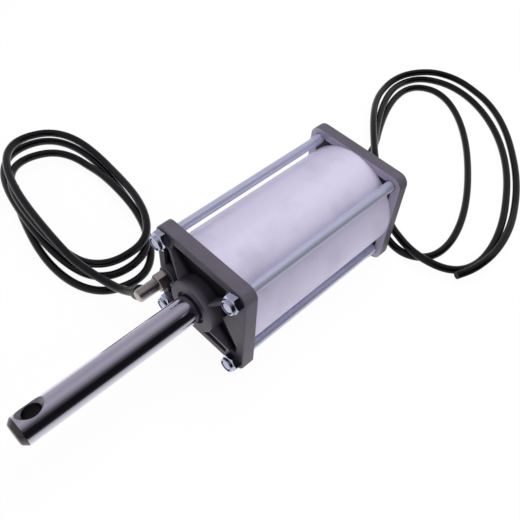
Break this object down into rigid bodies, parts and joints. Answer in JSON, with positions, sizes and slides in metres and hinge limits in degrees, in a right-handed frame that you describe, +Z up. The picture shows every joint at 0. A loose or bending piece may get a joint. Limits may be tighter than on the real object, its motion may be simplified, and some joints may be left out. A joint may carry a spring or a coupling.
{
  "type": "tie-rod pneumatic cylinder",
  "caption": "Square tie-rod air cylinder with ribbed cast covers, pale tube, chromed rod with a cross hole, and an elbow fitting with a coiled black air hose at each end.",
  "frame": {"origin": "on the cylinder axis, at the nut face of the front cover", "axes": "+X along the axis towards the rod eye, +Z up with the covers' lower sides resting at z = -54 mm, ports and fittings on the -Y side"},
  "size_m": [0.7092, 0.4768, 0.108],
  "materials": {
    "cast_aluminium": "as cast, dull mid grey",
    "anodised_tube": "satin anodised, pale",
    "bright_zinc": "bright zinc plated",
    "nut_insert_plastic": "dark nylon",
    "chromed_rod": "hard chrome, polished",
    "machined_aluminium": "turned",
    "bush_bronze": "turned bronze",
    "black_rubber": "smooth",
    "wear_ring_plastic": "filled plastic strip",
    "nickelled_brass": "nickel plated",
    "washer_steel": "plated",
    "collar_black": "moulded",
    "hose_black": "smooth, glossy"
  },
  "bodies": {
    "cylinder": {"front_cover": "cast_aluminium", "rear_cover": "cast_aluminium", "barrel_tube": "anodised_tube", "tie_rods": "bright_zinc", "tie_rod_nuts": "bright_zinc", "tie_rod_nut_inserts": "nut_insert_plastic", "rod_bush": "bush_bronze", "front_cover_seal": "black_rubber", "rear_cover_seal": "black_rubber", "rod_seal": "black_rubber", "rod_wiper": "black_rubber", "front_fitting_stem": "nickelled_brass", "front_fitting_elbow": "nickelled_brass", "rear_fitting_stem": "nickelled_brass", "rear_fitting_elbow": "nickelled_brass", "front_port_washer": "washer_steel", "rear_port_washer": "washer_steel", "front_hose_collar": "collar_black", "rear_hose_collar": "collar_black", "front_hose_lead": "hose_black", "front_hose_coil": "hose_black", "rear_hose_lead": "hose_black", "rear_hose_coil": "hose_black"},
    "piston_seals": {"front_piston_seal": "black_rubber", "rear_piston_seal": "black_rubber", "piston_wear_ring": "wear_ring_plastic"},
    "rod": {"piston_rod": "chromed_rod", "piston": "machined_aluminium", "piston_rod_ring": "black_rubber", "piston_washer": "bright_zinc", "piston_nut": "bright_zinc"}
  },
  "joints": [
    {"name": "rod_slide", "type": "slide", "parent": "cylinder", "child": "piston_seals", "axis": [1, 0, 0], "range_m": [-0.13, 0]},
    {"name": "rod_turn", "type": "hinge", "parent": "piston_seals", "child": "rod", "pos_m": [0, 0, 0], "axis": [1, 0, 0], "continuous": true}
  ]
}
